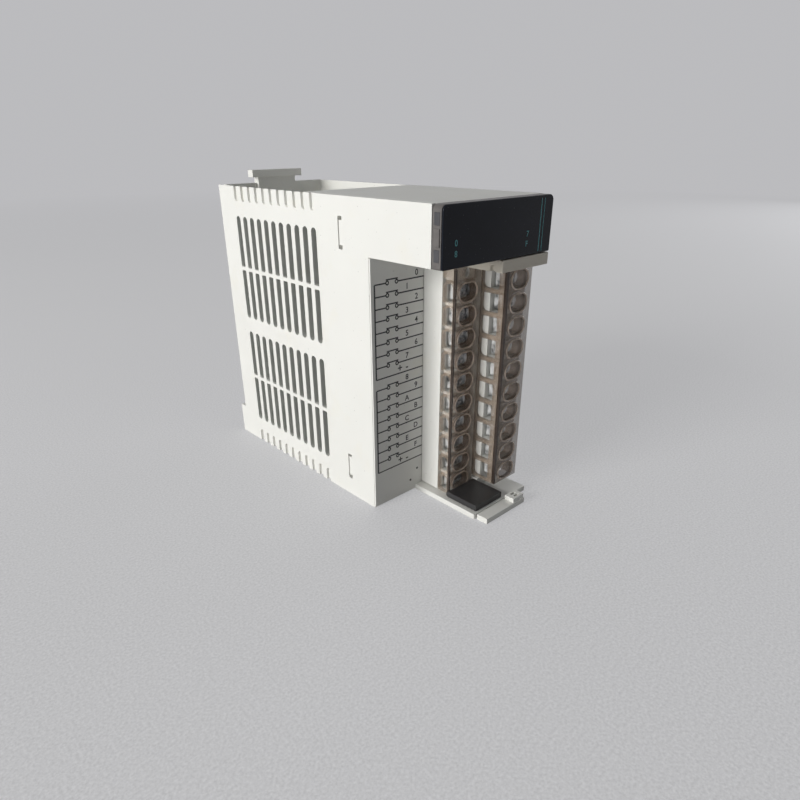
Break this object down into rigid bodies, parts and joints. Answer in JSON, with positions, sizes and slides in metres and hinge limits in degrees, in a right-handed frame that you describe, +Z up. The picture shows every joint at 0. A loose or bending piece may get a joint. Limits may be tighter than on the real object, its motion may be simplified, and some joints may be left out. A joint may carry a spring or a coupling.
{
  "type": "plc module",
  "caption": "Vented plug-in PLC input module with a smoked display head, a stepped plug-off screw terminal block, a release lever and a rear lock lever.",
  "frame": {"origin": "middle of the module's footprint, on the surface it stands on", "axes": "+X to the right seen from the front, +Y to the back that plugs onto the base, +Z up; the front faces -Y"},
  "size_m": [0.0488, 0.1238, 0.1077],
  "materials": {
    "ivory_plastic": "fine matte texture",
    "dark_plastic": "matte",
    "smoked_window": "smoked, satin gloss",
    "smoked_guard": "smoked clear plastic",
    "clear_plastic": "clear plastic",
    "circuit_board": "green solder mask",
    "chip_package": "moulded black",
    "plated_steel": "bright zinc plate",
    "black_plastic": "black, slight gloss",
    "label_sheet": "printed film"
  },
  "bodies": {
    "case": {"case_tub": "ivory_plastic", "side_cover": "ivory_plastic", "bottom_shelf": "ivory_plastic", "front_lip": "ivory_plastic", "upper_ledge": "ivory_plastic", "display_frame": "dark_plastic", "terminal_header": "dark_plastic", "backplane_connector": "dark_plastic", "display_window": "smoked_window", "light_guide": "clear_plastic", "led_board": "circuit_board", "main_board": "circuit_board", "optocoupler_1": "chip_package", "optocoupler_2": "chip_package", "optocoupler_3": "chip_package", "optocoupler_4": "chip_package", "chip_1": "chip_package", "chip_2": "chip_package", "lock_pin": "plated_steel", "label_sheet": "label_sheet"},
    "terminal_block": {"terminal_base": "ivory_plastic", "left_cover": "smoked_guard", "right_cover": "smoked_guard", "fixing_screw": "plated_steel", "release_pin": "plated_steel", "screw_left_01": "plated_steel", "screw_left_02": "plated_steel", "screw_left_03": "plated_steel", "screw_left_04": "plated_steel", "screw_left_05": "plated_steel", "screw_left_06": "plated_steel", "screw_left_07": "plated_steel", "screw_left_08": "plated_steel", "screw_left_09": "plated_steel", "screw_left_10": "plated_steel", "screw_right_01": "plated_steel", "screw_right_02": "plated_steel", "screw_right_03": "plated_steel", "screw_right_04": "plated_steel", "screw_right_05": "plated_steel", "screw_right_06": "plated_steel", "screw_right_07": "plated_steel", "screw_right_08": "plated_steel", "screw_right_09": "plated_steel", "screw_right_10": "plated_steel"},
    "release_lever": {"release_lever": "black_plastic"},
    "lock_lever": {"lock_lever": "ivory_plastic"}
  },
  "joints": [
    {"name": "terminal_pull", "type": "slide", "parent": "case", "child": "terminal_block", "axis": [0, -1, 0], "range_m": [0, 0.007]},
    {"name": "release_turn", "type": "hinge", "parent": "terminal_block", "child": "release_lever", "pos_m": [0.0041, -0.0435, 0.00335], "axis": [-1, 0, 0], "range_deg": [0, 50]},
    {"name": "lock_turn", "type": "hinge", "parent": "case", "child": "lock_lever", "pos_m": [0, 0.05745, 0.094], "axis": [1, 0, 0], "range_deg": [0, 12], "stiffness_Nm_per_rad": 0.15}
  ]
}
